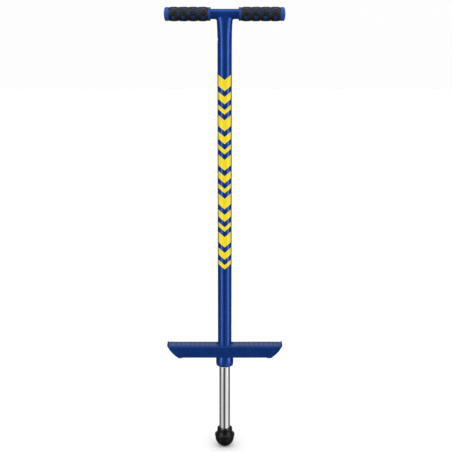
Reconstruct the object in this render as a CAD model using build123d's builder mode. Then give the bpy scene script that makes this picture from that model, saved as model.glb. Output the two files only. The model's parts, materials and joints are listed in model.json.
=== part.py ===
from build123d import *
import os
from math import asin, cos, radians, sin

# Spring pogo stick. Origin on the ground under the stick's axis, +Z up the stick,
# +X along the handlebar and the footrest, -Y towards the front. Millimetres.

os.makedirs("parts", exist_ok=True)

# ---------------------------------------------------------------- driving dimensions

# tubes: outside radius and wall
MAIN_R = 15.9
MAIN_WALL = 1.5
BAR_R = 11.1
BAR_WALL = 1.6
PLUNGER_R = 12.7
PLUNGER_WALL = 1.5

# heights on the stick's axis
TIP_SLEEVE_TOP = 44.4
BUSHING_BOTTOM = 197.4
COLLAR_BOTTOM = 200.2
FLANGE_BOTTOM = 223.8
CHANNEL_TOP = 250.0
TREAD_TOP = 253.0
GRAPHIC_BOTTOM = 435.0
GRAPHIC_TOP = 873.0
BAR_Z = 1003.2

# handlebar, measured from the middle
BAR_HALF = 128.0
GRIP_END = 132.2
GRIP_CAP_START = 120.9
COVER_START = 36.5
GRIP_START = 30.4

# footrest
STEP_DEPTH = 35.0
STEP_SHEET = 1.5
STEP_HALF_TOP = 132.4
STEP_HALF_BOTTOM = 109.4
TREAD_DEPTH = 31.0
TREAD_BASE = 2.0
RIB_PITCH = 11.2
RIB_COUNT = 9

# stroke of the plunger and free play
TRAVEL = 120.0
RUNNING_GAP = 0.05
END_GAP = 0.3

# main spring
WIRE_R = 2.5
COIL_R = 11.25
SPRING_TURNS = 48
SPRING_LENGTH = 520.0

# ---------------------------------------------------------------- worked-out dimensions

main_bore = MAIN_R - MAIN_WALL
plunger_bore = PLUNGER_R - PLUNGER_WALL

BUSHING_LENGTH = 45.0
bushing_top = BUSHING_BOTTOM + BUSHING_LENGTH
BUMPER_LENGTH = 10.0
bumper_top = bushing_top + BUMPER_LENGTH
WASHER_THICK = 1.6
washer_top = bumper_top + WASHER_THICK
GUIDE_LENGTH = 26.0
guide_bottom = washer_top + END_GAP
guide_top = guide_bottom + GUIDE_LENGTH
SEAT_FLANGE = 5.0
seat_bottom = guide_top + END_GAP
seat_top = seat_bottom + SEAT_FLANGE
spring_bottom = seat_top
spring_top = spring_bottom + SPRING_LENGTH

# at full stroke the tip stays clear of the bushing, and the coils stay clear of each other
assert TRAVEL < BUSHING_BOTTOM - TIP_SLEEVE_TOP
assert TRAVEL < SPRING_LENGTH - 2 * WIRE_R * SPRING_TURNS

SCREW_R = 2.5
SCREW_Z = 211.5
SCREW_TIP_R = 13.6
SCREW_HEAD_R = 19.7
SCREW_OFF_REAR_DEG = 40.0

# the two set screws enter the collar radially, left and right of the rear
off_rear = radians(SCREW_OFF_REAR_DEG)
screw_planes = []
for side in (-1, 1):
    outward = (side * sin(off_rear), cos(off_rear), 0)
    screw_planes.append(Plane(origin=(0, 0, SCREW_Z), x_dir=(0, 0, 1), z_dir=outward))


def save(piece, name):
    piece.label = name
    export_step(piece, f"parts/{name}.step")


def side_plane(x):
    """Plane across the handlebar at x, with its normal along +X."""
    return Plane(origin=(x, 0, 0), x_dir=(0, 1, 0), z_dir=(1, 0, 0))


# ================================================================ frame: main tube

# The top end is pressed front to back so that it matches the thinner crossbar: the
# section goes from a circle to an ellipse that is wider than the tube and less deep.
PRESS_LENGTH = 60.0
PRESS_START = BAR_Z - PRESS_LENGTH
PRESS_WIDER = 2.6
PRESS_THINNER = 5.5
PRESS_STATIONS = 6
COLLAR_LIP = 2.0
MAIN_BOTTOM = COLLAR_BOTTOM + COLLAR_LIP
WELD_R = 3.6
BEAD = 3.4
BEAD_RISE = 5.4
BEAD_ROOT = 0.5
BEAD_SAG = 0.3
BEAD_HALF_DEPTH = 13.5
bead_top = CHANNEL_TOP + BEAD_RISE
bead_root_r = MAIN_R - BEAD_ROOT


def pressed_half_width(t):
    return MAIN_R + PRESS_WIDER * t**2


def pressed_half_depth(t):
    return MAIN_R - PRESS_THINNER * t**2


with BuildPart() as tube_end:
    for i in range(PRESS_STATIONS + 1):
        t = i / PRESS_STATIONS
        with BuildSketch(Plane.XY.offset(PRESS_START + PRESS_LENGTH * t)):
            if i == 0:
                Circle(MAIN_R)
            else:
                Ellipse(pressed_half_width(t), pressed_half_depth(t))
    loft()

with BuildPart() as tube_end_bore:
    for i in range(PRESS_STATIONS + 1):
        t = i / PRESS_STATIONS
        with BuildSketch(Plane.XY.offset(PRESS_START + PRESS_LENGTH * t)):
            if i == 0:
                Circle(main_bore)
            else:
                Ellipse(pressed_half_width(t) - MAIN_WALL, pressed_half_depth(t) - MAIN_WALL)
    loft()

with BuildPart() as crossbar_blank:
    with BuildSketch(side_plane(-BAR_HALF)):
        with Locations((0, BAR_Z)):
            Circle(BAR_R)
    extrude(amount=2 * BAR_HALF)

# painted weld where the tube passes through the top of the footrest, left and right
with BuildPart() as foot_bead:
    with BuildSketch(Plane.XZ):
        with BuildLine():
            foot = (MAIN_R + BEAD, CHANNEL_TOP)
            hollow = (MAIN_R + BEAD_SAG * BEAD, CHANNEL_TOP + BEAD_SAG * BEAD_RISE)
            top = (MAIN_R, bead_top)
            Line((bead_root_r, CHANNEL_TOP), foot)
            ThreePointArc(foot, hollow, top)
            Line(top, (bead_root_r, bead_top))
            Line((bead_root_r, bead_top), (bead_root_r, CHANNEL_TOP))
        make_face()
    revolve(axis=Axis.Z)
    with BuildSketch(Plane.XY.offset(CHANNEL_TOP)):
        Rectangle(4 * MAIN_R, 2 * BEAD_HALF_DEPTH)
    extrude(amount=BEAD_RISE, mode=Mode.INTERSECT)

with BuildPart() as main_tube:
    add(tube_end.part)
    add(crossbar_blank.part)
    near_bar = main_tube.edges().filter_by_position(Axis.X, -2 * MAIN_R, 2 * MAIN_R)
    fillet(near_bar.filter_by_position(Axis.Z, BAR_Z - BAR_R, BAR_Z + BAR_R / 2), WELD_R)
    add(crossbar_blank.part, mode=Mode.SUBTRACT)
    with BuildSketch(Plane.XY.offset(MAIN_BOTTOM)):
        Circle(MAIN_R)
    extrude(amount=PRESS_START - MAIN_BOTTOM)
    add(foot_bead.part)
    add(tube_end_bore.part, mode=Mode.SUBTRACT)
    with BuildSketch(Plane.XY.offset(MAIN_BOTTOM)):
        Circle(main_bore)
    extrude(amount=PRESS_START - MAIN_BOTTOM, mode=Mode.SUBTRACT)
    with BuildSketch(*screw_planes):
        Circle(SCREW_R)
    extrude(amount=2 * MAIN_R, mode=Mode.SUBTRACT)
save(main_tube.part, "main_tube")

# ================================================================ frame: crossbar

with BuildPart() as handle_crossbar:
    with BuildSketch(side_plane(-BAR_HALF)):
        with Locations((0, BAR_Z)):
            Circle(BAR_R)
            Circle(BAR_R - BAR_WALL, mode=Mode.SUBTRACT)
    extrude(amount=2 * BAR_HALF)
save(handle_crossbar.part, "handle_crossbar")

# ================================================================ frame: grips

# Each grip is a blue core with a domed end and a flanged collar, and a black cover
# moulded over it. The cover swells in four lobes and has openings in eight rows,
# every other row half a pitch over, through which the core's pads stand flush.
CORE_R = 13.2
CAP_R = 14.9
CAP_DOME = 3.2
SHOULDER_R = 1.6
COLLAR_R = 14.3
RIM_R = 14.85
RIM_START = 31.6
RIM_END = 35.2
COVER_R = 15.9
COVER_EDGE_R = 14.95
LOBES = 4
ROWS = 8
LOBE_PITCH = (GRIP_CAP_START - COVER_START) / LOBES
OPENING = 6.6
OPENING_CORNER = 1.9
FIRST_ROW_DEG = 15.0
PAD_GAP = 0.25
PAD_R = 14.75
PAD_ROOT = 1.0
RIM_SLOPE = 0.5


def grip_openings():
    """Planes just under the core's surface, one per opening, each facing radially outwards."""
    planes = []
    for row in range(ROWS):
        angle = radians(FIRST_ROW_DEG + 360.0 * row / ROWS)
        outward = (0, -cos(angle), sin(angle))
        whole = row % 2
        count = LOBES if whole else LOBES - 1
        for i in range(count):
            along = COVER_START + LOBE_PITCH * (i + (0.5 if whole else 1.0))
            axis_plane = Plane(origin=(along, 0, 0), x_dir=(1, 0, 0), z_dir=outward)
            planes.append(axis_plane.offset(CORE_R - PAD_ROOT))
    return planes


dome_r = (CAP_R**2 + CAP_DOME**2) / (2 * CAP_DOME)
dome_centre = GRIP_END - dome_r
dome_half_angle = asin(CAP_R / dome_r) / 2

with BuildPart() as grip_core:
    with BuildSketch(Plane.XZ):
        with BuildLine():
            dome = ThreePointArc(
                (GRIP_END - CAP_DOME, CAP_R),
                (dome_centre + dome_r * cos(dome_half_angle), dome_r * sin(dome_half_angle)),
                (GRIP_END, 0),
            )
            Line(dome @ 1, (BAR_HALF, 0))
            Line((BAR_HALF, 0), (BAR_HALF, BAR_R))
            Line((BAR_HALF, BAR_R), (GRIP_START, BAR_R))
            Line((GRIP_START, BAR_R), (GRIP_START, COLLAR_R))
            Line((GRIP_START, COLLAR_R), (RIM_START, COLLAR_R))
            Line((RIM_START, COLLAR_R), (RIM_START + RIM_SLOPE, RIM_R))
            Line((RIM_START + RIM_SLOPE, RIM_R), (RIM_END - RIM_SLOPE, RIM_R))
            Line((RIM_END - RIM_SLOPE, RIM_R), (RIM_END, COLLAR_R))
            Line((RIM_END, COLLAR_R), (COVER_START, COLLAR_R))
            Line((COVER_START, COLLAR_R), (COVER_START, CORE_R))
            Line((COVER_START, CORE_R), (GRIP_CAP_START, CORE_R))
            Line((GRIP_CAP_START, CORE_R), (GRIP_CAP_START, CAP_R))
            Line((GRIP_CAP_START, CAP_R), dome @ 0)
        make_face()
        shoulder = vertices().sort_by_distance((GRIP_END - CAP_DOME, CAP_R))[0]
        fillet(shoulder, SHOULDER_R)
    revolve(axis=Axis.X)
    with BuildSketch(*grip_openings()):
        Rectangle(OPENING - PAD_GAP, OPENING - PAD_GAP, rotation=45)
        fillet(vertices(), OPENING_CORNER - PAD_GAP / 2)
    extrude(amount=PAD_R - CORE_R + PAD_ROOT)

with BuildPart() as grip_cover:
    with BuildSketch(Plane.XZ):
        with BuildLine():
            Line((COVER_START, CORE_R), (COVER_START, COVER_EDGE_R))
            for i in range(LOBES):
                start = COVER_START + i * LOBE_PITCH
                ThreePointArc(
                    (start, COVER_EDGE_R),
                    (start + LOBE_PITCH / 2, COVER_R),
                    (start + LOBE_PITCH, COVER_EDGE_R),
                )
            Line((GRIP_CAP_START, COVER_EDGE_R), (GRIP_CAP_START, CORE_R))
            Line((GRIP_CAP_START, CORE_R), (COVER_START, CORE_R))
        make_face()
    revolve(axis=Axis.X)
    with BuildSketch(*grip_openings()):
        Rectangle(OPENING, OPENING, rotation=45)
        fillet(vertices(), OPENING_CORNER)
    extrude(amount=COVER_R - CORE_R + 2 * PAD_ROOT, mode=Mode.SUBTRACT)

bar_location = Location((0, 0, BAR_Z))
for piece, name in ((grip_core, "grip_core"), (grip_cover, "grip_cover")):
    save(piece.part.moved(bar_location), f"right_{name}")
    save(piece.part.mirror(Plane.YZ).moved(bar_location), f"left_{name}")

# ================================================================ frame: footrest

# A folded sheet channel, open below, straddles the main tube. Its ends curve inwards
# towards the bottom and are closed by bent plates that stand a little proud.
END_BULGE = 2.2
STEP_FOLD_R = 3.0
PLATE_THICK = 1.6
PLATE_LIP = 0.5
PLATE_TAB = 8.0
PLATE_TOP_R = 0.7
PLATE_FOLD_R = 2.0
PLATE_EDGE_R = 1.0
PEG_R = 2.5
PEG_HEAD_R = 3.6
PEG_HEAD = 1.5
PEG_PLACES = (50.0, 104.0)
RIB_WIDTH = 5.4
RIB_LENGTH = 28.0
RIB_HEIGHT = TREAD_TOP - CHANNEL_TOP - TREAD_BASE
RIB_TAPER_DEG = 18.0
RIB_CORNER = 1.2
LAST_RIB = 124.6
TREAD_GAP = 0.4
TREAD_CORNER = 2.0
TREAD_REACH = 8.0

# each end lies on a circle whose chord joins its top and bottom corners
end_rise = CHANNEL_TOP - FLANGE_BOTTOM
end_run = STEP_HALF_TOP - STEP_HALF_BOTTOM
end_chord = (end_rise**2 + end_run**2) ** 0.5
end_r = end_chord**2 / (8 * END_BULGE) + END_BULGE / 2
end_reach = (end_r - END_BULGE) / end_chord
end_centre_x = (STEP_HALF_TOP + STEP_HALF_BOTTOM) / 2 - end_reach * end_rise
end_centre_z = (CHANNEL_TOP + FLANGE_BOTTOM) / 2 + end_reach * end_run


def end_point(z, inset):
    """Point of the right end at height z in the side view, inset from its outer face."""
    return end_centre_x + ((end_r - inset) ** 2 - (z - end_centre_z) ** 2) ** 0.5, z


def end_points(first, last, inset):
    """Three points of the right end's curve: at two heights and halfway between them."""
    return [end_point(z, inset) for z in (first, (first + last) / 2, last)]


with BuildPart() as footrest_channel:
    for top, half_depth, mode in (
        (CHANNEL_TOP, STEP_DEPTH / 2, Mode.ADD),
        (CHANNEL_TOP - STEP_SHEET, STEP_DEPTH / 2 - STEP_SHEET, Mode.SUBTRACT),
    ):
        with BuildSketch(Plane.XZ.offset(-half_depth)):
            with BuildLine():
                end = ThreePointArc(*end_points(top, FLANGE_BOTTOM, PLATE_THICK))
                Line(end @ 1, (0, FLANGE_BOTTOM))
                Line((0, FLANGE_BOTTOM), (0, top))
                Line((0, top), end @ 0)
            make_face()
            mirror(about=Plane.YZ)
        extrude(amount=2 * half_depth, mode=mode)
        if mode == Mode.ADD:
            fillet(footrest_channel.edges().filter_by(Axis.X).group_by(Axis.Z)[-1], STEP_FOLD_R)
    with BuildSketch(Plane.XY.offset(CHANNEL_TOP)):
        Circle(MAIN_R)
        for x in PEG_PLACES:
            with Locations((x, 0), (-x, 0)):
                Circle(PEG_R)
    extrude(amount=-2 * STEP_SHEET, mode=Mode.SUBTRACT)
save(footrest_channel.part, "footrest_channel")

with BuildPart() as end_plate:
    plate_top = TREAD_TOP + PLATE_LIP
    plate_bottom = FLANGE_BOTTOM - PLATE_THICK
    with BuildSketch(Plane.XZ.offset(-STEP_DEPTH / 2)):
        with BuildLine():
            outer = ThreePointArc(*end_points(plate_top, plate_bottom, 0))
            inner = ThreePointArc(*end_points(plate_top, FLANGE_BOTTOM, PLATE_THICK))
            tab_end = (inner @ 1).X - PLATE_TAB
            Line(outer @ 0, inner @ 0)
            Line(inner @ 1, (tab_end, FLANGE_BOTTOM))
            Line((tab_end, FLANGE_BOTTOM), (tab_end, plate_bottom))
            Line((tab_end, plate_bottom), outer @ 1)
        make_face()
        fillet(vertices().sort_by_distance(outer @ 0)[0], PLATE_TOP_R)
        fillet(vertices().sort_by_distance(outer @ 1)[0], PLATE_FOLD_R)
    extrude(amount=STEP_DEPTH)
    outer_face = end_plate.faces().filter_by(GeomType.CYLINDER).sort_by(SortBy.AREA)[-1]
    fillet(outer_face.edges().filter_by(Axis.Y, reverse=True), PLATE_EDGE_R)
save(end_plate.part, "right_end_plate")
save(end_plate.part.mirror(Plane.YZ), "left_end_plate")

with BuildPart() as tread:
    # the inner end reaches back beside the main tube, with a round cut-out for it
    cut_r = MAIN_R + BEAD + TREAD_GAP
    tread_start = cut_r - TREAD_REACH
    tread_end = end_point(CHANNEL_TOP, PLATE_THICK)[0] - TREAD_GAP
    with BuildSketch(Plane.XY.offset(CHANNEL_TOP)):
        with Locations(((tread_start + tread_end) / 2, 0)):
            RectangleRounded(tread_end - tread_start, TREAD_DEPTH, TREAD_CORNER)
        Circle(cut_r, mode=Mode.SUBTRACT)
    extrude(amount=TREAD_BASE)
    for i in range(RIB_COUNT):
        with BuildSketch(Plane.XY.offset(CHANNEL_TOP + TREAD_BASE)):
            with Locations((LAST_RIB - i * RIB_PITCH, 0)):
                RectangleRounded(RIB_WIDTH, RIB_LENGTH, RIB_CORNER)
        extrude(amount=RIB_HEIGHT, taper=RIB_TAPER_DEG)
    with BuildSketch(Plane.XY.offset(CHANNEL_TOP)):
        for x in PEG_PLACES:
            with Locations((x, 0)):
                Circle(PEG_R)
    extrude(amount=-STEP_SHEET)
    with BuildSketch(Plane.XY.offset(CHANNEL_TOP - STEP_SHEET)):
        for x in PEG_PLACES:
            with Locations((x, 0)):
                Circle(PEG_HEAD_R)
    extrude(amount=-PEG_HEAD)
save(tread.part, "right_tread")
save(tread.part.mirror(Plane.YZ), "left_tread")

# ================================================================ frame: collar, bushing

# Barrel-shaped collar over the tube's lower end, with a rounded nose turned in under it.
BARREL_TOP_R = 18.8
BARREL_R = 20.3
BARREL_MIDDLE_Z = 211.0
BARREL_LOW_R = 19.7
BARREL_LOW_Z = 203.4
NOSE_R = 18.9
NOSE_Z = 201.1
NOSE_LOW_R = 17.0
BUSHING_ROOM = 0.2
lip_r = main_bore + BUSHING_ROOM

with BuildPart() as lower_collar:
    with BuildSketch(Plane.XZ):
        with BuildLine():
            barrel = ThreePointArc(
                (BARREL_TOP_R, FLANGE_BOTTOM),
                (BARREL_R, BARREL_MIDDLE_Z),
                (BARREL_LOW_R, BARREL_LOW_Z),
            )
            nose = ThreePointArc(barrel @ 1, (NOSE_R, NOSE_Z), (NOSE_LOW_R, COLLAR_BOTTOM))
            Line(nose @ 1, (lip_r, COLLAR_BOTTOM))
            Line((lip_r, COLLAR_BOTTOM), (lip_r, MAIN_BOTTOM))
            Line((lip_r, MAIN_BOTTOM), (MAIN_R, MAIN_BOTTOM))
            Line((MAIN_R, MAIN_BOTTOM), (MAIN_R, FLANGE_BOTTOM))
            Line((MAIN_R, FLANGE_BOTTOM), barrel @ 0)
        make_face()
    revolve(axis=Axis.Z)
    with BuildSketch(*screw_planes):
        Circle(SCREW_R)
    extrude(amount=2 * MAIN_R, mode=Mode.SUBTRACT)
save(lower_collar.part, "lower_collar")

BUSHING_LIP_R = 13.9
BUSHING_CHAMFER = 0.8
with BuildPart() as lower_bushing:
    with BuildSketch(Plane.XY.offset(BUSHING_BOTTOM)):
        Circle(BUSHING_LIP_R)
    extrude(amount=MAIN_BOTTOM - BUSHING_BOTTOM)
    chamfer(lower_bushing.edges().group_by(Axis.Z)[0], BUSHING_CHAMFER)
    with BuildSketch(Plane.XY.offset(MAIN_BOTTOM)):
        Circle(main_bore)
    extrude(amount=bushing_top - MAIN_BOTTOM)
    with BuildSketch(Plane.XY.offset(BUSHING_BOTTOM)):
        Circle(PLUNGER_R + RUNNING_GAP)
    extrude(amount=BUSHING_LENGTH, mode=Mode.SUBTRACT)
    with BuildSketch(*[plane.offset(SCREW_TIP_R) for plane in screw_planes]):
        Circle(SCREW_R)
    extrude(amount=MAIN_R, mode=Mode.SUBTRACT)
save(lower_bushing.part, "lower_bushing")

SOCKET_R = 1.45
SOCKET_DEPTH = 2.5
with BuildPart() as collar_set_screws:
    with BuildSketch(*[plane.offset(SCREW_TIP_R) for plane in screw_planes]):
        Circle(SCREW_R)
    extrude(amount=SCREW_HEAD_R - SCREW_TIP_R)
    with BuildSketch(*[plane.offset(SCREW_HEAD_R - SOCKET_DEPTH) for plane in screw_planes]):
        RegularPolygon(SOCKET_R, 6)
    extrude(amount=SOCKET_DEPTH, mode=Mode.SUBTRACT)
save(collar_set_screws.part, "collar_set_screws")

BUMPER_CLEAR = 0.3
BUMPER_EDGE_R = 0.3
with BuildPart() as rebound_bumper:
    with BuildSketch(Plane.XY.offset(bushing_top)):
        Circle(main_bore - BUMPER_CLEAR / 2)
        Circle(PLUNGER_R + BUMPER_CLEAR, mode=Mode.SUBTRACT)
    extrude(amount=BUMPER_LENGTH)
    fillet(rebound_bumper.edges().group_by(Axis.Z)[-1].sort_by(SortBy.RADIUS)[-1], BUMPER_EDGE_R)
save(rebound_bumper.part, "rebound_bumper")

with BuildPart() as bumper_washer:
    with BuildSketch(Plane.XY.offset(bumper_top)):
        Circle(main_bore - BUMPER_CLEAR / 2)
        Circle(PLUNGER_R + BUMPER_CLEAR, mode=Mode.SUBTRACT)
    extrude(amount=WASHER_THICK)
save(bumper_washer.part, "bumper_washer")

# ================================================================ frame: spring stop

SPIGOT_GAP = 0.4
SPIGOT_R = COIL_R - WIRE_R - SPIGOT_GAP
SPIGOT_LENGTH = 12.0
SPIGOT_CHAMFER = 1.5
PLUG_LENGTH = 22.0
PLUG_BORE_R = 4.0
with BuildPart() as spring_stop:
    with BuildSketch(Plane.XY.offset(spring_top)):
        Circle(main_bore)
    extrude(amount=PLUG_LENGTH)
    with BuildSketch(Plane.XY.offset(spring_top)):
        Circle(SPIGOT_R)
    extrude(amount=-SPIGOT_LENGTH)
    chamfer(spring_stop.edges().group_by(Axis.Z)[0], SPIGOT_CHAMFER)
    with BuildSketch(Plane.XY.offset(spring_top - SPIGOT_LENGTH)):
        Circle(PLUG_BORE_R)
    extrude(amount=PLUG_LENGTH + SPIGOT_LENGTH, mode=Mode.SUBTRACT)
save(spring_stop.part, "spring_stop")

# ================================================================ spring and its seat

with BuildPart() as spring_seat:
    with BuildSketch(Plane.XY.offset(seat_bottom)):
        Circle(main_bore - END_GAP)
    extrude(amount=SEAT_FLANGE)
    with BuildSketch(Plane.XY.offset(seat_top)):
        Circle(SPIGOT_R)
    extrude(amount=SPIGOT_LENGTH)
    chamfer(spring_seat.edges().group_by(Axis.Z)[-1], SPIGOT_CHAMFER)
    with BuildSketch(Plane.XY.offset(seat_bottom)):
        Circle(PLUG_BORE_R)
    extrude(amount=SEAT_FLANGE + SPIGOT_LENGTH, mode=Mode.SUBTRACT)
save(spring_seat.part, "spring_seat")

coil_start = spring_bottom + WIRE_R + END_GAP
coil_rise = SPRING_LENGTH - 2 * (WIRE_R + END_GAP)
with BuildPart() as main_spring:
    with BuildLine(Plane.XY.offset(coil_start)):
        coil = Helix(pitch=coil_rise / SPRING_TURNS, height=coil_rise, radius=COIL_R)
    with BuildSketch(Plane(origin=coil @ 0, z_dir=coil % 0)):
        Circle(WIRE_R)
    sweep(path=coil, is_frenet=True)
save(main_spring.part, "main_spring")

# ================================================================ plunger

WASHER_BOTTOM = 14.4
plunger_bottom = WASHER_BOTTOM + WASHER_THICK
PIN_R = 2.0
PIN_BORE_R = 1.2
PIN_HALF = 13.9
PIN_SLOT = 0.7
PIN_Z = guide_bottom + GUIDE_LENGTH / 2

with BuildPart() as plunger_tube:
    with BuildSketch(Plane.XY.offset(plunger_bottom)):
        Circle(PLUNGER_R)
        Circle(plunger_bore, mode=Mode.SUBTRACT)
    extrude(amount=guide_top - plunger_bottom)
    with BuildSketch(side_plane(-PIN_HALF)):
        with Locations((0, PIN_Z)):
            Circle(PIN_R)
    extrude(amount=2 * PIN_HALF, mode=Mode.SUBTRACT)
save(plunger_tube.part, "plunger_tube")

with BuildPart() as plunger_guide:
    with BuildSketch(Plane.XY.offset(guide_bottom)):
        Circle(main_bore - RUNNING_GAP)
        Circle(PLUNGER_R, mode=Mode.SUBTRACT)
    extrude(amount=GUIDE_LENGTH)
    with BuildSketch(side_plane(-2 * MAIN_R)):
        with Locations((0, PIN_Z)):
            Circle(PIN_R)
    extrude(amount=4 * MAIN_R, mode=Mode.SUBTRACT)
save(plunger_guide.part, "plunger_guide")

with BuildPart() as guide_pin:
    with BuildSketch(side_plane(-PIN_HALF)):
        with Locations((0, PIN_Z)):
            Circle(PIN_R)
            Circle(PIN_BORE_R, mode=Mode.SUBTRACT)
        with Locations((0, PIN_Z + PIN_R)):
            Rectangle(PIN_SLOT, 2 * PIN_R, mode=Mode.SUBTRACT)
    extrude(amount=2 * PIN_HALF)
save(guide_pin.part, "guide_pin")

FOOT_PLUG_LENGTH = 14.0
FOOT_PLUG_CHAMFER = 1.0
with BuildPart() as foot_plug:
    with BuildSketch(Plane.XY.offset(plunger_bottom)):
        Circle(plunger_bore)
    extrude(amount=FOOT_PLUG_LENGTH)
    chamfer(foot_plug.edges().group_by(Axis.Z)[-1], FOOT_PLUG_CHAMFER)
save(foot_plug.part, "foot_plug")

TIP_WASHER_R = 16.0
with BuildPart() as tip_washer:
    with BuildSketch(Plane.XY.offset(WASHER_BOTTOM)):
        Circle(TIP_WASHER_R)
    extrude(amount=WASHER_THICK)
save(tip_washer.part, "tip_washer")

# Rubber tip: a sleeve that flares to a rim, above a ball that stands on a small flat.
SLEEVE_R = 17.75
SLEEVE_CORNER = 2.2
sleeve_corner_z = TIP_SLEEVE_TOP - SLEEVE_CORNER
FLARE_TOP = 36.9
FLARE_R = 19.2
FLARE_Z = 32.6
TIP_RIM_R = 23.4
TIP_RIM_Z = 27.3
RIM_TOP_R = 22.7
RIM_TOP_Z = 29.2
RIM_LOW_R = 22.7
RIM_LOW_Z = 24.8
BALL_TOP = 21.5
BALL_R = 22.1
BALL_Z = 20.9
ball_middle = BALL_TOP / 3
flat_r = (BALL_R**2 - BALL_Z**2) ** 0.5


def ball_radius_at(z):
    return (BALL_R**2 - (z - BALL_Z) ** 2) ** 0.5


with BuildPart() as rubber_tip:
    with BuildSketch(Plane.XZ):
        with BuildLine():
            Line((PLUNGER_R, plunger_bottom), (PLUNGER_R, TIP_SLEEVE_TOP))
            Line((PLUNGER_R, TIP_SLEEVE_TOP), (SLEEVE_R - SLEEVE_CORNER, TIP_SLEEVE_TOP))
            RadiusArc(
                (SLEEVE_R - SLEEVE_CORNER, TIP_SLEEVE_TOP),
                (SLEEVE_R, sleeve_corner_z),
                SLEEVE_CORNER,
            )
            Line((SLEEVE_R, sleeve_corner_z), (SLEEVE_R, FLARE_TOP))
            flare = ThreePointArc((SLEEVE_R, FLARE_TOP), (FLARE_R, FLARE_Z), (RIM_TOP_R, RIM_TOP_Z))
            rim = ThreePointArc(flare @ 1, (TIP_RIM_R, TIP_RIM_Z), (RIM_LOW_R, RIM_LOW_Z))
            Line(rim @ 1, (ball_radius_at(BALL_TOP), BALL_TOP))
            ball = ThreePointArc(
                (ball_radius_at(BALL_TOP), BALL_TOP),
                (ball_radius_at(ball_middle), ball_middle),
                (flat_r, 0),
            )
            Line(ball @ 1, (0, 0))
            Line((0, 0), (0, WASHER_BOTTOM))
            Line((0, WASHER_BOTTOM), (TIP_WASHER_R, WASHER_BOTTOM))
            Line((TIP_WASHER_R, WASHER_BOTTOM), (TIP_WASHER_R, plunger_bottom))
            Line((TIP_WASHER_R, plunger_bottom), (PLUNGER_R, plunger_bottom))
        make_face()
    revolve(axis=Axis.Z)
save(rubber_tip.part, "rubber_tip")

# ================================================================ frame: vinyl graphic

# Plain chevrons in three weights, repeated up the front of the tube.
VINYL = 0.15
GRAPHIC_HALF = 13.8
CHEVRON_DROP = 11.0
CHEVRON_WEIGHTS = (24.0, 16.0, 10.0)
MOTIFS = 5
chevron_count = MOTIFS * len(CHEVRON_WEIGHTS)
graphic_length = GRAPHIC_TOP - GRAPHIC_BOTTOM
bare_length = graphic_length - CHEVRON_DROP - MOTIFS * sum(CHEVRON_WEIGHTS)
chevron_gap = bare_length / (chevron_count - 1)

with BuildPart() as tube_graphic:
    with BuildSketch(Plane.XY.offset(GRAPHIC_BOTTOM)):
        Circle(MAIN_R + VINYL)
        Circle(MAIN_R, mode=Mode.SUBTRACT)
    extrude(amount=graphic_length)
    with BuildSketch(Plane.XZ):
        top = GRAPHIC_TOP
        for weight in CHEVRON_WEIGHTS * MOTIFS:
            Polygon(
                (-GRAPHIC_HALF, top),
                (0, top - CHEVRON_DROP),
                (GRAPHIC_HALF, top),
                (GRAPHIC_HALF, top - weight),
                (0, top - weight - CHEVRON_DROP),
                (-GRAPHIC_HALF, top - weight),
                align=None,
            )
            top -= weight + chevron_gap
    extrude(amount=2 * MAIN_R, mode=Mode.INTERSECT)
save(tube_graphic.part, "tube_graphic")
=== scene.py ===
import json
from math import asin, cos, pi, radians, sin, tan

import bpy
import numpy as np
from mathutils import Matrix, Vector


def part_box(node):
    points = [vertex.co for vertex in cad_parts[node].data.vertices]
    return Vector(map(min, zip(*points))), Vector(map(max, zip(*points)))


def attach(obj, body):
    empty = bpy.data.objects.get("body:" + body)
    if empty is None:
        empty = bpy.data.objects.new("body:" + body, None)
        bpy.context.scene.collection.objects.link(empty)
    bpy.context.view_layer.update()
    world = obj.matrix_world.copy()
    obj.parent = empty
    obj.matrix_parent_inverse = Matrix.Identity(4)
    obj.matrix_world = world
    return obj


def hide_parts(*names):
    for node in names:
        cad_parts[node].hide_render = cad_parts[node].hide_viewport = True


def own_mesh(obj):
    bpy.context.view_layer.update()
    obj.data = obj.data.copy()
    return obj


# Looks of a spring pogo stick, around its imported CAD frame. Metres, +Z up the stick,
# +X along the handlebar, -Y towards the front.

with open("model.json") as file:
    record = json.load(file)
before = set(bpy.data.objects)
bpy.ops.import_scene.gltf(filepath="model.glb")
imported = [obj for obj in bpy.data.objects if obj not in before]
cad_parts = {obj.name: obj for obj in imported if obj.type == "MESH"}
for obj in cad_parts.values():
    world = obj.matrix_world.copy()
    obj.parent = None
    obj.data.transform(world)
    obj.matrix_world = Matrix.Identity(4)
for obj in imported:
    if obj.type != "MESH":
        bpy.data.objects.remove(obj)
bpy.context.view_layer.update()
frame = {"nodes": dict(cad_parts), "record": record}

MM = 0.001

# ---------------------------------------------------------------- camera

# The stick is seen from in front, from level with the handlebar, looking down at the
# middle of the stick.
IMAGE_SIDE = 452
FOCAL_LENGTH = 982.0
SENSOR = 36.0
CAMERA_DISTANCE = 2.182
CAMERA_DOWN = radians(12.0)
CAMERA_AIM_Z = 0.5325
CAMERA_ASIDE = 0.003

camera_data = bpy.data.cameras.new("camera")
camera_data.sensor_width = SENSOR
camera_data.lens = SENSOR * FOCAL_LENGTH / IMAGE_SIDE
camera = bpy.data.objects.new("camera", camera_data)
camera_z = CAMERA_AIM_Z + CAMERA_DISTANCE * tan(CAMERA_DOWN)
camera.location = (CAMERA_ASIDE, -CAMERA_DISTANCE, camera_z)
camera.rotation_euler = (pi / 2 - CAMERA_DOWN, 0, 0)
bpy.context.scene.collection.objects.link(camera)
bpy.context.scene.camera = camera
bpy.context.scene.view_settings.view_transform = "Standard"


# ---------------------------------------------------------------- material helpers

# the stretch of a noise's values in which nearly all of them lie
NOISE_LOW = 0.3
NOISE_HIGH = 0.7


def shade(colour, amount):
    """A colour made lighter or darker by a factor."""
    return tuple(min(1.0, c * amount) for c in colour)


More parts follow.
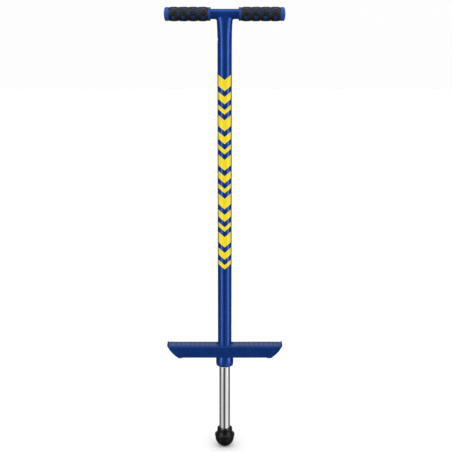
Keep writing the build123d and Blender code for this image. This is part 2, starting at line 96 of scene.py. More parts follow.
class Paint:
    """A material being made: its nodes, with short names for the few kinds used here."""

    def __init__(self, name, **sockets):
        self.material = bpy.data.materials.new(name)
        self.material.use_nodes = True
        self.tree = self.material.node_tree
        self.shader = self.tree.nodes["Principled BSDF"]
        self.coords = self.tree.nodes.new("ShaderNodeTexCoord").outputs["Object"]
        for socket, value in sockets.items():
            self.shader.inputs[socket.replace("_", " ")].default_value = value

    def link(self, a, b):
        self.tree.links.new(a, b)

    def stretched(self, scale):
        """The object's coordinates, stretched by a scale in each direction."""
        node = self.tree.nodes.new("ShaderNodeMapping")
        node.inputs["Scale"].default_value = scale
        self.link(self.coords, node.inputs["Vector"])
        return node.outputs["Vector"]

    def noise(self, scale, detail, stretch=None):
        node = self.tree.nodes.new("ShaderNodeTexNoise")
        node.inputs["Scale"].default_value = scale
        node.inputs["Detail"].default_value = detail
        self.link(self.stretched(stretch) if stretch else self.coords, node.inputs["Vector"])
        return node.outputs["Fac"]

    def cells(self, scale):
        node = self.tree.nodes.new("ShaderNodeTexVoronoi")
        node.inputs["Scale"].default_value = scale
        self.link(self.coords, node.inputs["Vector"])
        return node.outputs["Distance"]

    def ramp(self, factor, stops):
        """A ramp over colours, given as (place, colour) pairs."""
        node = self.tree.nodes.new("ShaderNodeValToRGB")
        elements = node.color_ramp.elements
        while len(elements) < len(stops):
            elements.new(0.5)
        for element, (place, colour) in zip(elements, stops):
            element.position = place
            element.color = (*colour, 1.0)
        self.link(factor, node.inputs["Fac"])
        return node.outputs["Color"]

    def mottled(self, factor, colour, dark, light, places=(NOISE_LOW, NOISE_HIGH)):
        """The colour times dark where the factor is low, and times light where it is high."""
        shades = (shade(colour, dark), shade(colour, light))
        return self.ramp(factor, list(zip(places, shades)))

    def spread(self, factor, low, high):
        """The factor, mapped to run from low to high."""
        node = self.tree.nodes.new("ShaderNodeMapRange")
        node.inputs["From Min"].default_value = NOISE_LOW
        node.inputs["From Max"].default_value = NOISE_HIGH
        node.inputs["To Min"].default_value = low
        node.inputs["To Max"].default_value = high
        self.link(factor, node.inputs["Value"])
        return node.outputs["Result"]

    def bump(self, *layers):
        """Bumps laid one on another, each given as (height, strength, depth in metres)."""
        normal = None
        for height, strength, depth in layers:
            node = self.tree.nodes.new("ShaderNodeBump")
            node.inputs["Strength"].default_value = strength
            node.inputs["Distance"].default_value = depth
            self.link(height, node.inputs["Height"])
            if normal:
                self.link(normal, node.inputs["Normal"])
            normal = node.outputs["Normal"]
        self.link(normal, self.shader.inputs["Normal"])

    def attribute(self, name):
        """A number that the mesh carries on its points, 0 where it has none."""
        node = self.tree.nodes.new("ShaderNodeAttribute")
        node.attribute_name = name
        return node.outputs["Fac"]

    def blend(self, factor, a, b, kind="RGBA"):
        """Socket a where the factor is 0, socket b where it is 1."""
        node = self.tree.nodes.new("ShaderNodeMix")
        node.data_type = kind
        named = [socket for socket in node.inputs if socket.enabled]
        self.link(factor, named[0])
        self.link(a, named[1])
        self.link(b, named[2])
        return next(socket for socket in node.outputs if socket.enabled)

    def colour(self, socket):
        self.link(socket, self.shader.inputs["Base Color"])

    def rough(self, socket):
        self.link(socket, self.shader.inputs["Roughness"])


# ---------------------------------------------------------------- materials


def enamel():
    """Deep blue gloss enamel: slight orange peel, faint pooling and a fine grain."""
    blue = (0.009, 0.049, 0.25)
    p = Paint(
        "blue_enamel", Metallic=0.48, Specular_IOR_Level=0.15, Coat_Weight=0.1, Coat_Roughness=0.05
    )
    p.colour(p.mottled(p.noise(26, 4), blue, 0.9, 1.12))
    p.rough(p.spread(p.noise(90, 4), 0.2, 0.3))
    p.bump((p.noise(160, 2), 0.05, 0.03 * MM), (p.noise(1200, 1), 0.04, 0.01 * MM))
    return p.material


def grip_blue():
    """Moulded blue thermoplastic: satin and finely grained, glossier on the pads, and with painted
    shade that darkens the recessed pads and the flanged collar.
    """
    blue = (0.011, 0.062, 0.275)
    p = Paint("grip_blue", Specular_IOR_Level=0.26)
    mottle = p.noise(60, 3)
    open_blue = p.mottled(mottle, blue, 0.85, 1.15)
    # painted shade: a darker copy of the blue for the recessed pads and the collar, laid on by the
    # "pad" number of the mesh
    pad_blue_painted_shade = p.mottled(mottle, blue, 0.45, 0.65)
    pad = p.attribute("pad")
    p.colour(p.blend(pad, open_blue, pad_blue_painted_shade))
    grain = p.noise(500, 3)
    p.rough(p.blend(pad, p.spread(grain, 0.34, 0.5), p.spread(grain, 0.14, 0.22), "FLOAT"))
    p.bump((p.noise(1800, 3), 0.2, 0.05 * MM), (p.noise(90, 2), 0.1, 0.2 * MM))
    return p.material


def grip_black():
    """Soft black rubber of the grips: matte, pebbled and a little uneven in its black."""
    black = (0.006, 0.006, 0.0065)
    p = Paint("grip_black", Specular_IOR_Level=0.3)
    p.colour(p.mottled(p.noise(150, 5), black, 0.75, 1.5))
    p.rough(p.spread(p.noise(700, 4), 0.42, 0.6))
    p.bump((p.cells(2300), 0.4, 0.06 * MM), (p.noise(300, 3), 0.15, 0.15 * MM))
    return p.material


def tip_rubber():
    """Black moulded rubber of the tip: semi-matte, with fine flow marks and some bloom."""
    black = (0.0035, 0.0035, 0.0035)
    p = Paint("tip_rubber", Specular_IOR_Level=0.16)
    p.colour(p.mottled(p.noise(70, 6), black, 0.8, 2.0, (0.35, 0.75)))
    p.rough(p.spread(p.noise(240, 4), 0.26, 0.46))
    p.bump((p.noise(1500, 4), 0.3, 0.05 * MM), (p.noise(60, 2, stretch=(1, 1, 6)), 0.12, 0.3 * MM))
    return p.material


def bumper_rubber():
    """Plain black rubber of the rebound ring: dull, with a slightly rough surface."""
    black = (0.02, 0.02, 0.021)
    p = Paint("bumper_rubber", Specular_IOR_Level=0.35)
    p.colour(p.mottled(p.noise(300, 4), black, 0.8, 1.3))
    p.rough(p.spread(p.noise(800, 3), 0.6, 0.8))
    p.bump((p.noise(1500, 4), 0.5, 0.06 * MM))
    return p.material


def tread_plastic():
    """Blue tread plastic: satin, coarser in its grain than the enamel and more mottled."""
    blue = (0.012, 0.042, 0.17)
    p = Paint("tread_plastic", Specular_IOR_Level=0.45, Coat_Weight=0.2, Coat_Roughness=0.2)
    p.colour(p.mottled(p.noise(120, 5), blue, 0.85, 1.25, (NOISE_LOW, 0.75)))
    p.rough(p.spread(p.noise(320, 4), 0.25, 0.42))
    p.bump((p.noise(1400, 3), 0.4, 0.06 * MM), (p.noise(200, 3), 0.15, 0.15 * MM))
    return p.material


def nylon():
    """Natural white nylon: waxy, a little translucent, with faint turning marks."""
    white = (0.8, 0.8, 0.77)
    p = Paint("bushing_nylon", Subsurface_Weight=0.15, Subsurface_Scale=0.002)
    p.colour(p.mottled(p.noise(200, 3), white, 0.94, 1.0))
    p.rough(p.spread(p.noise(400, 2), 0.35, 0.5))
    p.bump((p.noise(260, 2, stretch=(1, 1, 12)), 0.2, 0.05 * MM))
    return p.material


def chrome():
    """Bright chrome over ground tube: faint lengthwise draw lines and soft haze."""
    silver = (0.62, 0.625, 0.635)
    p = Paint("chrome", Metallic=1.0)
    p.colour(p.mottled(p.noise(40, 4), silver, 0.96, 1.0))
    p.rough(p.spread(p.noise(60, 4, stretch=(8, 8, 0.4)), 0.06, 0.11))
    p.bump((p.noise(900, 3, stretch=(4, 4, 0.06)), 0.1, 0.01 * MM), (p.noise(18, 1), 0.03, 0.2 * MM))
    return p.material


def zinc():
    """Bright zinc plating: faint bluish and yellowish clouds over a fine grain."""
    bluish, yellowish = (0.52, 0.56, 0.62), (0.66, 0.63, 0.54)
    p = Paint("zinc_steel", Metallic=1.0)
    p.colour(p.ramp(p.noise(160, 4), [(NOISE_LOW, bluish), (NOISE_HIGH, yellowish)]))
    p.rough(p.spread(p.noise(500, 3), 0.28, 0.42))
    p.bump((p.noise(900, 3), 0.25, 0.03 * MM))
    return p.material


def spring_steel():
    """Oil-tempered spring wire: dark and uneven, under a film of grease."""
    steel = (0.2, 0.2, 0.21)
    p = Paint("spring_steel", Metallic=1.0, Coat_Weight=0.3, Coat_Roughness=0.25)
    p.colour(p.mottled(p.noise(220, 5), steel, 0.6, 1.3))
    p.rough(p.spread(p.noise(600, 3), 0.3, 0.5))
    p.bump((p.noise(1100, 3), 0.3, 0.04 * MM))
    return p.material


def vinyl():
    """Yellow printed vinyl under clear laminate, a touch uneven in its ink."""
    yellow = (0.95, 0.75, 0.01)
    p = Paint("graphic_vinyl", Specular_IOR_Level=0.3, Coat_Weight=0.15, Coat_Roughness=0.08)
    p.colour(p.mottled(p.noise(70, 5), yellow, 0.94, 1.0))
    p.rough(p.spread(p.noise(240, 3), 0.3, 0.4))
    p.bump((p.noise(500, 2), 0.12, 0.05 * MM))
    return p.material


materials = {
    "frame_enamel": enamel(),
    "grip_blue": grip_blue(),
    "grip_black": grip_black(),
    "tread_plastic": tread_plastic(),
    "bushing_nylon": nylon(),
    "chrome": chrome(),
    "spring_steel": spring_steel(),
    "zinc_steel": zinc(),
    "tip_rubber": tip_rubber(),
    "bumper_rubber": bumper_rubber(),
    "graphic_vinyl": vinyl(),
}
slot_of = {row["node"]: row["material_slot"] for row in frame["record"]["subparts"]}
for name, node in frame["nodes"].items():
    for material_slot in node.material_slots:
        material_slot.material = materials[slot_of[name]]

# ---------------------------------------------------------------- mesh helpers


def new_piece(name, points, faces, slot, body, replaced):
    """A smooth-shaded mesh piece, with its finish, riding on a body and standing for CAD nodes."""
    mesh = bpy.data.meshes.new(name)
    mesh.from_pydata([tuple(p) for p in points], [], faces)
    mesh.materials.append(materials[slot])
    mesh.validate()
    mesh.shade_smooth()
    piece = bpy.data.objects.new(name, mesh)
    bpy.context.scene.collection.objects.link(piece)
    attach(piece, body)
    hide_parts(*replaced)
    return piece


def ring_faces(ring_count, around, closed, flip):
    """Quads between neighbouring rings of points; closed joins the last ring to the first."""
    faces = []
    for i in range(ring_count if closed else ring_count - 1):
        here, there = i * around, (i + 1) % ring_count * around
        for j in range(around):
            k = (j + 1) % around
            quad = (here + j, here + k, there + k, there + j)
            faces.append(quad[::-1] if flip else quad)
    return faces


MOST_OF_A_SIDE = 0.45


def round_corners(points, radii, steps):
    """An open outline with each inner corner replaced by a short curve of about that radius."""
    outline = [points[0]]
    for before, corner, after, radius in zip(points, points[1:], points[2:], radii):
        before, corner, after = Vector(before), Vector(corner), Vector(after)
        back, ahead = before - corner, after - corner
        reach = min(radius, back.length * MOST_OF_A_SIDE, ahead.length * MOST_OF_A_SIDE)
        start = corner + back.normalized() * reach
        end = corner + ahead.normalized() * reach
        for i in range(steps + 1):
            t = i / steps
            outline.append(tuple(start * (1 - t) ** 2 + corner * 2 * t * (1 - t) + end * t**2))
    outline.append(points[-1])
    return outline


def turned(outline, segments, x=0.0):
    """Points and faces of a shape turned about an upright axis at x, from an outline of
    (radius, height) points that runs down its outside."""
    points = []
    for r, z in outline:
        for j in range(segments):
            a = 2 * pi * j / segments
            points.append((x + r * cos(a), r * sin(a), z))
    faces = ring_faces(len(outline), segments, False, False)
    last = (len(outline) - 1) * segments
    faces.append(tuple(range(segments))[::-1])
    faces.append(tuple(range(last, last + segments)))
    return points, faces


def joined(parts):
    """The points and faces of several parts in one list each."""
    points, faces = [], []
    for part_points, part_faces in parts:
        first = len(points)
        points += part_points
        faces += [tuple(first + k for k in face) for face in part_faces]
    return points, faces


# ---------------------------------------------------------------- grips

bar_low, bar_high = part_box("handle_crossbar")
core_low, core_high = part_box("right_grip_core")
cover_low, cover_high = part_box("right_grip_cover")
bar_z = (bar_low.z + bar_high.z) / 2
bar_r = (bar_high.z - bar_low.z) / 2
bar_end = bar_high.x
grip_start, grip_end = core_low.x, core_high.x
cover_start, cover_end = cover_low.x, cover_high.x
cover_r = (cover_high.z - cover_low.z) / 2

# the cover's lobes and its rows of openings, every other row half a pitch over
LOBES = 4
ROWS = 8
FIRST_ROW = radians(15.0)
LOBE_SWELL = 1.35 * MM
LOBE_POWER = 0.8
COVER_EDGE_ROUND = 0.7 * MM
COVER_EDGE_LENGTH = 1.6 * COVER_EDGE_ROUND
COVER_FLOOR = 0.1 * MM
CORE_R = 13.2 * MM
PAD_DEPTH = 0.75 * MM
# share of the pads' painted shade and gloss that the flanged collar gets
COLLAR_PAINTED_SHADE = 0.7
PAD_CROWN = 0.3 * MM
LIP = 0.2 * MM
CAP_R = 14.85 * MM
RIM_R = 14.8 * MM
COLLAR_R = 14.3 * MM
OPENING_HALF = 4.7 * MM
OPENING_POWER = 1.4

# places round an opening, where 1 is its edge
WALL_PLACES = (0.98, 1.17)
LIP_PLACE = 1.32
LIP_SPREAD = 0.16
PAD_PLACES = (0.8, 1.02)
# where the painted shade and the gloss of a pad fade out
PAD_PAINTED_SHADE_PLACES = (1.0, 1.2)

GRID_ALONG = 180
GRID_AROUND = 208
FAR_OFF = 9.0
lobe_pitch = (cover_end - cover_start) / LOBES
share_along = np.linspace(0, 1, GRID_ALONG)
cover_along = cover_start + (cover_end - cover_start) * share_along
angle_around = np.arange(GRID_AROUND) * 2 * pi / GRID_AROUND


def smooth(low, high, value):
    """0 where the value is under low, 1 where it is over high, and an even S between them."""
    t = np.clip((value - low) / (high - low), 0, 1)
    return t * t * (3 - 2 * t)


def opening_distances():
    """How far each point of the grip's grid is from the nearest opening: 1 on its edge."""
    nearest = np.full((GRID_ALONG, GRID_AROUND), FAR_OFF)
    for row in range(ROWS):
        whole = row % 2
        row_angle = FIRST_ROW + 2 * pi * row / ROWS
        off = (angle_around - row_angle + pi) % (2 * pi) - pi
        aside = np.abs(off[None, :]) * cover_r / OPENING_HALF
        for i in range(LOBES if whole else LOBES - 1):
            centre = cover_start + lobe_pitch * (i + (0.5 if whole else 1.0))
            ahead = np.abs(cover_along[:, None] - centre) / OPENING_HALF
            shape = (ahead**OPENING_POWER + aside**OPENING_POWER) ** (1 / OPENING_POWER)
            nearest = np.minimum(nearest, shape)
    return nearest


def grip_points(along, radius, side):
    """Points on a grip from their place along it and their radius, one row per ring."""
    x = np.broadcast_to(side * along[:, None], radius.shape)
    y = -radius * np.cos(angle_around)
    z = bar_z + radius * np.sin(angle_around)
    return np.stack([x, y, z], axis=-1).reshape(-1, 3)


# radius of the cover's outside along its length: four swollen lobes
lobe = np.abs(np.sin(pi * LOBES * share_along)) ** LOBE_POWER
cover_crown = cover_r - LOBE_SWELL * (1 - lobe)
distance = opening_distances()


def grip_cover(side, name, node):
    """The black lattice: swollen in lobes, with rounded lips round its openings."""
    from_end = np.minimum(share_along, 1 - share_along) * (cover_end - cover_start)
    rounded = COVER_EDGE_ROUND * (1 - smooth(0, COVER_EDGE_LENGTH, from_end))
    crown = (cover_crown - rounded)[:, None]
    lip = LIP * np.exp(-(((distance - LIP_PLACE) / LIP_SPREAD) ** 2))
    floor_r = CORE_R + COVER_FLOOR
    outer = floor_r + (crown - LIP + lip - floor_r) * smooth(*WALL_PLACES, distance)
    inner = np.full((2, GRID_AROUND), CORE_R)
    rings = np.vstack([outer, inner])
    along = np.concatenate([cover_along, [cover_end, cover_start]])
    faces = ring_faces(len(along), GRID_AROUND, True, side > 0)
    return new_piece(name, grip_points(along, rings, side), faces, "grip_black", "frame", [node])


def whole_rings(outline):
    """Rings of one radius each, from an outline of (place along the grip, radius) points."""
    return np.array([[r] * GRID_AROUND for _, r in outline])


def grip_core(side, name, node):
    """The blue core: flanged collar, pads that fill the openings, and a domed end, with painted shade
    marked on its pads and collar.
    """
    collar = [
        (bar_end, 0.4 * MM),
        (bar_end, bar_r),
        (grip_start, bar_r),
        (grip_start, COLLAR_R),
        (grip_start + 1.3 * MM, COLLAR_R),
        (grip_start + 1.7 * MM, RIM_R),
        (grip_start + 4.4 * MM, RIM_R),
        (grip_start + 4.9 * MM, COLLAR_R),
        (cover_start - 0.25 * MM, COLLAR_R),
        (cover_start - 0.05 * MM, CORE_R),
    ]
    collar = round_corners(collar, [0.0, 0.3 * MM, 0.8 * MM] + [0.35 * MM] * 6, 4)
    cap = [
        (cover_end + 0.05 * MM, CORE_R),
        (cover_end + 0.3 * MM, CAP_R),
        (grip_end - 2.6 * MM, CAP_R),
        (grip_end - 0.9 * MM, 9.5 * MM),
        (grip_end, 2.6 * MM),
        (grip_end - 0.5 * MM, 2.1 * MM),
        (grip_end - 0.6 * MM, 0.3 * MM),
    ]
    cap = round_corners(cap, [0.3 * MM, 2.6 * MM, 5.0 * MM, 0.5 * MM, 0.3 * MM], 6)
    pad = cover_crown[:, None] - PAD_DEPTH
    crown = pad + PAD_CROWN * (1 - np.minimum(distance, 1) ** 2)
    middle = CORE_R + (crown - CORE_R) * (1 - smooth(*PAD_PLACES, distance))
    rings = np.vstack([whole_rings(collar), middle, whole_rings(cap)])
    along = np.concatenate([[x for x, _ in collar], cover_along, [x for x, _ in cap]])
    faces = ring_faces(len(along), GRID_AROUND, False, side > 0)
    last = (len(along) - 1) * GRID_AROUND
    ends = [tuple(range(GRID_AROUND))[::-1], tuple(range(last, last + GRID_AROUND))]
    faces += [end[::-1] if side > 0 else end for end in ends]
    piece = new_piece(name, grip_points(along, rings, side), faces, "grip_blue", "frame", [node])
    # painted shade: the pads, recessed under the lattice, and the flanged collar are darkened through
    # the "pad" number, which also makes them glossier
    painted_shade_and_gloss = np.zeros(rings.shape)
    painted_shade_and_gloss[: len(collar)] = COLLAR_PAINTED_SHADE
    painted_shade_and_gloss[len(collar) : len(collar) + GRID_ALONG] = 1 - smooth(*PAD_PAINTED_SHADE_PLACES, distance)
    piece.data.attributes.new("pad", "FLOAT", "POINT").data.foreach_set("value", painted_shade_and_gloss.ravel())
    return piece


for side, hand in ((-1, "left"), (1, "right")):
    grip_cover(side, f"{hand}_grip_lattice", f"{hand}_grip_cover")
    grip_core(side, f"{hand}_grip_sleeve", f"{hand}_grip_core")

# ---------------------------------------------------------------- rubber tip

TIP_SLEEVE_R = 17.65 * MM
TIP_FIT = 0.02 * MM
TIP_GROOVES = (4.0 * MM, 6.0 * MM)
TIP_GROOVE_SHAPE = ((0, 0.35), (0.4, 0.1), (0.4, -0.1), (0, -0.35))
TIP_GROOVE_ROUND = 0.2 * MM
TIP_BALL_R = 22.05 * MM
TIP_BALL_Z = 20.85 * MM
TIP_BALL_STEPS = 40
TIP_SEGMENTS = 144


def rubber_tip():
    """The tip: a sleeve with two shallow grooves, flaring to a rim above a ball with a flat."""
    washer_low, washer_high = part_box("tip_washer")
    tip_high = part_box("rubber_tip")[1]
    rim_r, top = tip_high.x, tip_high.z
    inner_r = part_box("plunger_tube")[1].x + TIP_FIT
    # the bore, from its floor up, and the rounded mouth of the sleeve
    outline = [(washer_high.x, washer_low.z), (washer_high.x, washer_high.z)]
    outline += [(inner_r, washer_high.z), (inner_r, top - 0.6 * MM)]
    outline += [(inner_r + 0.6 * MM, top), (TIP_SLEEVE_R - 0.2 * MM, top), (TIP_SLEEVE_R, top - 2 * MM)]
    radii = [0.0, 0.0, 0.2 * MM, 0.5 * MM, 2.0 * MM, 1.0 * MM]
    for groove in TIP_GROOVES:
        for depth, rise in TIP_GROOVE_SHAPE:
            outline.append((TIP_SLEEVE_R - depth * MM, top - groove + rise * MM))
            radii.append(TIP_GROOVE_ROUND)
    # the flare and the rim
    outline += [(TIP_SLEEVE_R, 36.4 * MM), (18.7 * MM, 32.4 * MM), (rim_r - 1.0 * MM, 29.6 * MM)]
    outline += [(rim_r, 28.4 * MM), (rim_r - 0.05 * MM, 26.9 * MM)]
    radii += [2.5 * MM, 2.5 * MM, 0.5 * MM, 0.7 * MM, 0.9 * MM]
    ball = []
    for i in range(TIP_BALL_STEPS + 1):
        a = -asin(TIP_BALL_Z / TIP_BALL_R) * i / TIP_BALL_STEPS
        ball.append((TIP_BALL_R * cos(a), TIP_BALL_Z + TIP_BALL_R * sin(a)))
    outline = round_corners(outline + [ball[0]], radii, 5) + ball[1:]
    points, faces = turned(outline, TIP_SEGMENTS)
    new_piece("rubber_tip_ball", points, faces, "tip_rubber", "plunger", ["rubber_tip"])


rubber_tip()

# ---------------------------------------------------------------- treads

RIBS = 9
RIB_PITCH = 11.2 * MM
LAST_RIB = 124.6 * MM
RIB_HALF = 2.9 * MM
RIB_REACH = 14.2 * MM
RIB_STATIONS = 72
RIB_SINK = 0.2
RIB_TOP = 0.9
RIB_END_WIDTH = 0.9
RIB_END_HEIGHT = 0.35
RIB_END_POWER = 14
NOTCHES = 6
NOTCH_DEPTH = 0.35 * MM
NOTCH_POWER = 6
TREAD_SKIN = 1.9 * MM
TREAD_LIFT = 0.05 * MM
TREAD_CORNER = 2.0 * MM
CORNER_STEPS = 6
CUT_STEPS = 24
PEG_R = 2.4 * MM
PEG_HEAD_R = 3.6 * MM
PEG_HEAD = 1.5 * MM
PEG_PLACES = (50 * MM, 104 * MM)
PEG_SEGMENTS = 32
SHARP_ANGLE = radians(40)
tread_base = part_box("footrest_channel")[1].z + TREAD_LIFT

# half section of a rib, as (share of half width, share of height) from foot to top
RIB_SECTION = [
    (1.0, 0.0),
    (0.92, 0.3),
    (0.86, 0.62),
    (0.8, 0.84),
    (0.68, 0.95),
    (0.45, 1.0),
    (0.15, 1.0),
]

# rings of the pad from its foot to its top, as (inset in mm, share of its thickness)
PAD_RINGS = [(0.0, 0.0), (0.0, 0.7), (0.12, 0.9), (0.35, 1.0)]


def tread_pad(side, near, far, half):
    """The thin pad: two rounded outer corners, and a round cut-out for the tube within."""
    cut_r = (near**2 + half**2) ** 0.5
    outline = []
    for across, quarter in ((-1, 0), (1, 1)):
        for i in range(CORNER_STEPS + 1):
            a = -pi / 2 + pi / 2 * (i / CORNER_STEPS + quarter)
            x = far - TREAD_CORNER + TREAD_CORNER * cos(a)
            outline.append((x, across * (half - TREAD_CORNER) + TREAD_CORNER * sin(a)))
    sweep = asin(half / cut_r)
    for i in range(CUT_STEPS + 1):
        a = sweep - 2 * sweep * i / CUT_STEPS
        outline.append((cut_r * cos(a), cut_r * sin(a)))
    middle_x = (near + far) / 2
    points = []
    for inset, share in PAD_RINGS:
        for x, y in outline:
            inwards = Vector((middle_x - x, -y)).normalized() * inset * MM
            points.append((side * (x + inwards.x), y + inwards.y, tread_base + share * TREAD_SKIN))
    around = len(outline)
    faces = ring_faces(len(PAD_RINGS), around, False, side < 0)
    bottom = tuple(range(around))
    top = tuple(range(len(points) - around, len(points)))
    faces += [bottom, top[::-1]] if side < 0 else [bottom[::-1], top]
    return points, faces


def tread_rib(side, x, rib_top):
    """One rib across the tread: its ends slope off, and its top has small notches."""
    foot_z = tread_base + TREAD_SKIN * (1 - RIB_SINK)
    rise = rib_top - foot_z
    section = RIB_SECTION + [(-w, h) for w, h in RIB_SECTION[::-1]]
    points = []
    for i in range(RIB_STATIONS + 1):
        t = 2 * i / RIB_STATIONS - 1
        notch = NOTCH_DEPTH * (0.5 + 0.5 * cos(pi * NOTCHES * (t + 1))) ** NOTCH_POWER
        from_end = (1 - abs(t) ** RIB_END_POWER) ** 0.5
        half_width = RIB_HALF * (RIB_END_WIDTH + (1 - RIB_END_WIDTH) * from_end)
        height_here = RIB_END_HEIGHT + (1 - RIB_END_HEIGHT) * from_end
        for w, h in section:
            lift = (rise - notch * (h > RIB_TOP)) * h * height_here
            points.append((side * (x + w * half_width), t * RIB_REACH, foot_z + lift))
    around = len(section)
    faces = ring_faces(RIB_STATIONS + 1, around, False, side > 0)
    near_end, far_end = tuple(range(around)), tuple(range(len(points) - around, len(points)))
    faces += [near_end, far_end[::-1]] if side > 0 else [near_end[::-1], far_end]
    return points, faces


def tread_peg(x, bottom):
    """One of the pegs that hold the tread from below, with a rounded head."""
    head_top = bottom + PEG_HEAD
    outline = [(PEG_R, tread_base), (PEG_R, head_top), (PEG_HEAD_R, head_top)]
    outline += [(PEG_HEAD_R, bottom + 0.6 * MM), (PEG_HEAD_R - 0.7 * MM, bottom), (0.4 * MM, bottom)]
    outline = round_corners(outline, [0.0, 0.2 * MM, 0.5 * MM, 0.9 * MM], 4)
    return turned(outline, PEG_SEGMENTS, x)


def tread(side, name, node):
    """A moulded tread: a thin pad with notched ribs on it and pegs under it."""
    low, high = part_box(node)
    near, far = sorted((abs(low.x), abs(high.x)))
    parts = [tread_pad(side, near, far, high.y)]
    parts += [tread_rib(side, LAST_RIB - i * RIB_PITCH, high.z) for i in range(RIBS)]
    parts += [tread_peg(side * place, low.z) for place in PEG_PLACES]
    points, faces = joined(parts)
    piece = new_piece(name, points, faces, "tread_plastic", "frame", [node])
    piece.data.set_sharp_from_angle(angle=SHARP_ANGLE)


for side, hand in ((-1, "left"), (1, "right")):
    tread(side, f"{hand}_ribbed_tread", f"{hand}_tread")

# ---------------------------------------------------------------- main spring

spring_low, spring_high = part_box("main_spring")
WIRE_R = 2.5 * MM
COIL_TURNS = 48
DEAD_TURNS = 1.5
DEAD_PITCH = 5.1 * MM
STEPS_PER_TURN = 26
WIRE_SIDES = 12


def coil_height(turn, low, high):
    """Height of the wire after some turns: closed end coils, and evenly open between them."""
    open_rise = (high - low - 2 * DEAD_TURNS * DEAD_PITCH) / (COIL_TURNS - 2 * DEAD_TURNS)
    if turn < DEAD_TURNS:
        return low + turn * DEAD_PITCH
    if turn > COIL_TURNS - DEAD_TURNS:
        return high - (COIL_TURNS - turn) * DEAD_PITCH
    return low + DEAD_TURNS * DEAD_PITCH + (turn - DEAD_TURNS) * open_rise


def spring():
    """The coil spring between its seat and its stop, with a mesh of its own."""
    mean_r = (spring_high.x - spring_low.x) / 2 - WIRE_R
    low, high = spring_low.z + WIRE_R, spring_high.z - WIRE_R
    points = []
    count = COIL_TURNS * STEPS_PER_TURN + 1
    for i in range(count):
        turn = i / STEPS_PER_TURN
        a = 2 * pi * turn
        out = Vector((cos(a), sin(a), 0))
        centre = out * mean_r + Vector((0, 0, coil_height(turn, low, high)))
        for j in range(WIRE_SIDES):
            b = 2 * pi * j / WIRE_SIDES
            points.append(centre + out * (WIRE_R * cos(b)) + Vector((0, 0, WIRE_R * sin(b))))
    faces = ring_faces(count, WIRE_SIDES, False, True)
    last = (count - 1) * WIRE_SIDES
    faces.append(tuple(range(WIRE_SIDES)))
    faces.append(tuple(range(last, last + WIRE_SIDES))[::-1])
    piece = new_piece("main_spring_coil", points, faces, "spring_steel", "frame", ["main_spring"])
    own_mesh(piece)


spring()

# ---------------------------------------------------------------- stage and light

FLOOR_HALF = 12.0
floor_mesh = bpy.data.meshes.new("floor")
corners = [(-1, -1), (1, -1), (1, 1), (-1, 1)]
floor_mesh.from_pydata([(x * FLOOR_HALF, y * FLOOR_HALF, 0) for x, y in corners], [], [(0, 1, 2, 3)])
floor = bpy.data.objects.new("floor", floor_mesh)
bpy.context.scene.collection.objects.link(floor)
floor_paint = Paint("pale_floor", Roughness=0.6, Specular_IOR_Level=0.15)
floor_greys = [(NOISE_LOW, (0.875,) * 3), (NOISE_HIGH, (0.885,) * 3)]
floor_paint.colour(floor_paint.ramp(floor_paint.noise(2.0, 3), floor_greys))
floor_mesh.materials.append(floor_paint.material)
floor.visible_glossy = False
floor.visible_diffuse = False

# One wide soft light above and a little in front, aimed at the middle of the stick.
# Reflections come from the studio's own panels, so this light shows in none.
LIGHT_SIDE = 2.2
LIGHT_POWER = 9
LIGHT_AZIMUTH = radians(20)
LIGHT_DISTANCE = 0.9
LIGHT_HEIGHT = 2.6
LIGHT_AIM = Vector((0, 0, 0.5))

light_data = bpy.data.lights.new("overhead_light", "AREA")
light_data.shape = "RECTANGLE"
light_data.size = LIGHT_SIDE
light_data.size_y = LIGHT_SIDE
light_data.energy = LIGHT_POWER
light = bpy.data.objects.new("overhead_light", light_data)
light_x, light_y = LIGHT_DISTANCE * sin(LIGHT_AZIMUTH), -LIGHT_DISTANCE * cos(LIGHT_AZIMUTH)
light.location = (light_x, light_y, LIGHT_HEIGHT)
light.rotation_euler = (LIGHT_AIM - light.location).to_track_quat("-Z", "Y").to_euler()
light.visible_glossy = False
bpy.context.scene.collection.objects.link(light)

# The studio: a white sweep for the camera and even light all round. Reflections show
# instead tall strips on dark cloth at eye level and a little below it, white cards below
# those round the foot, two soft boxes above eye level in front, a pale backdrop behind
# and a large soft panel overhead. Each list has (azimuth from the front, brightness).
STRIPS = [
    (-180, 0.04),
    (-160, 0.04),
    (-153, 0.7),
    (-146, 0.7),
    (-139, 0.04),
    (-68, 0.06),
    (-58, 4.0),
    (-46, 4.6),
    (-38, 1.8),
    (-26, 0.2),
    (0, 0.05),
    (36, 0.1),
    (46, 3.0),
    (60, 4.3),
    (72, 3.7),
    (83, 0.1),
    (139, 0.04),
    (146, 0.7),
    (153, 0.7),
    (160, 0.04),
    (180, 0.04),
]
CARDS = [
    (-180, 1.0),
    (-168, 1.0),
    (-162, 0.12),
    (-98, 0.1),
    (-84, 0.8),
    (-44, 0.95),
    (-30, 0.5),
    (-14, 0.1),
    (4, 0.1),
    (16, 0.75),
    (36, 1.3),
    (70, 1.3),
    (84, 0.35),
    (96, 0.3),
    (112, 0.5),
    (128, 0.14),
    (162, 0.12),
    (168, 1.0),
    (180, 1.0),
]
BOXES = [
    (-82, 0.0),
    (-70, 1.0),
    (-48, 1.0),
    (-36, 0.0),
    (40, 0.0),
    (52, 1.0),
    (72, 1.0),
    (84, 0.0),
]
BACKDROP = [
    (-180, 1.0),
    (-120, 1.0),
    (-105, 0.0),
    (105, 0.0),
    (120, 1.0),
    (180, 1.0),
]
STRIP_PEAK = 5.0
CARD_PEAK = 1.3
BOX_PEAK = 9.0
BACKDROP_PEAK = 0.3
OVERHEAD = 1.7
UNDERFOOT = 0.08
SOFT_ABOVE = 1.2
SOFT_BELOW = 0.6
BACKGROUND = 0.985

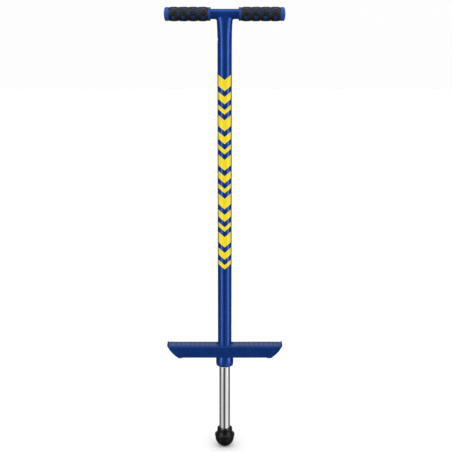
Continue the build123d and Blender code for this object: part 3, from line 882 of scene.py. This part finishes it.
# where each thing begins and ends, by the height of a direction from -1 to 1
CARD_TOP = -0.345
STRIP_BOTTOM = -0.315
BOX_HEIGHTS = [(0.4, 0.0), (0.5, 1.0), (0.68, 1.0), (0.78, 0.0)]
BACKDROP_HEIGHTS = [(0.04, 0.0), (0.1, 1.0), (0.5, 1.0), (0.62, 0.0)]
OVERHEAD_HEIGHTS = [(0.8, 0.0), (0.92, 1.0)]
UNDERFOOT_DEPTHS = [(0.5, 0.0), (0.75, 1.0)]
SOFT_HEIGHTS = [(-0.4, 0.0), (0.24, 1.0)]


class Studio:
    """The world's node tree, with short names for its few kinds of node."""

    def __init__(self):
        world = bpy.data.worlds.new("studio")
        bpy.context.scene.world = world
        world.use_nodes = True
        self.tree = world.node_tree
        self.background = self.tree.nodes["Background"]

    def math(self, operation, *values):
        node = self.tree.nodes.new("ShaderNodeMath")
        node.operation = operation
        for socket, value in zip(node.inputs, values):
            if isinstance(value, (int, float)):
                socket.default_value = value
            else:
                self.tree.links.new(value, socket)
        return node.outputs["Value"]

    def ramp(self, factor, stops):
        node = self.tree.nodes.new("ShaderNodeValToRGB")
        elements = node.color_ramp.elements
        while len(elements) < len(stops):
            elements.new(0.5)
        for element, (place, value) in zip(elements, stops):
            element.position = place
            element.color = (value, value, value, 1.0)
        self.tree.links.new(factor, node.inputs["Fac"])
        return node.outputs["Color"]

    def mix(self, factor, a, b):
        """a where the factor is 0, b where it is 1."""
        node = self.tree.nodes.new("ShaderNodeMix")
        self.tree.links.new(factor, node.inputs["Factor"])
        for socket, value in ((node.inputs["A"], a), (node.inputs["B"], b)):
            if isinstance(value, (int, float)):
                socket.default_value = value
            else:
                self.tree.links.new(value, socket)
        return node.outputs["Result"]


studio = Studio()
direction = studio.tree.nodes.new("ShaderNodeTexCoord").outputs["Generated"]
split = studio.tree.nodes.new("ShaderNodeSeparateXYZ")
studio.tree.links.new(direction, split.inputs[0])
towards_front = studio.math("MULTIPLY", split.outputs["Y"], -1.0)
turn = studio.math("ARCTAN2", split.outputs["X"], towards_front)
around = studio.math("MULTIPLY_ADD", turn, 0.5 / pi, 0.5)


def panels(stops, peak):
    """Brightness of the studio's panels by azimuth."""
    ramp = studio.ramp(around, [((azimuth + 180) / 360, value / peak) for azimuth, value in stops])
    return studio.math("MULTIPLY", ramp, peak)


height = split.outputs["Z"]
raised = studio.math("MULTIPLY_ADD", height, 0.5, 0.5)


def by_height(stops):
    """Brightness by the height of a direction, for stops that lie below the horizon too."""
    return studio.ramp(raised, [(0.5 + 0.5 * place, value) for place, value in stops])


# what reflections see: cards low down, strips above them, then backdrop and boxes
above_cards = by_height([(CARD_TOP, 0.0), (STRIP_BOTTOM, 1.0)])
level = studio.mix(above_cards, panels(CARDS, CARD_PEAK), panels(STRIPS, STRIP_PEAK))
boxes = (BOXES, BOX_HEIGHTS, BOX_PEAK)
backdrop = (BACKDROP, BACKDROP_HEIGHTS, BACKDROP_PEAK)
for stops, heights, peak in (boxes, backdrop):
    panel = studio.math("MULTIPLY", panels(stops, 1.0), studio.ramp(height, heights))
    level = studio.math("MULTIPLY_ADD", panel, peak, level)
above = studio.ramp(height, OVERHEAD_HEIGHTS)
below = studio.ramp(studio.math("MULTIPLY", height, -1.0), UNDERFOOT_DEPTHS)
mirrored = studio.mix(below, studio.mix(above, level, OVERHEAD), UNDERFOOT)

# what the camera and the plain light see
path = studio.tree.nodes.new("ShaderNodeLightPath")
soft = studio.mix(by_height(SOFT_HEIGHTS), SOFT_BELOW, SOFT_ABOVE)
even = studio.mix(path.outputs["Is Glossy Ray"], soft, mirrored)
seen = studio.mix(path.outputs["Is Camera Ray"], even, BACKGROUND)
studio.tree.links.new(seen, studio.background.inputs["Color"])
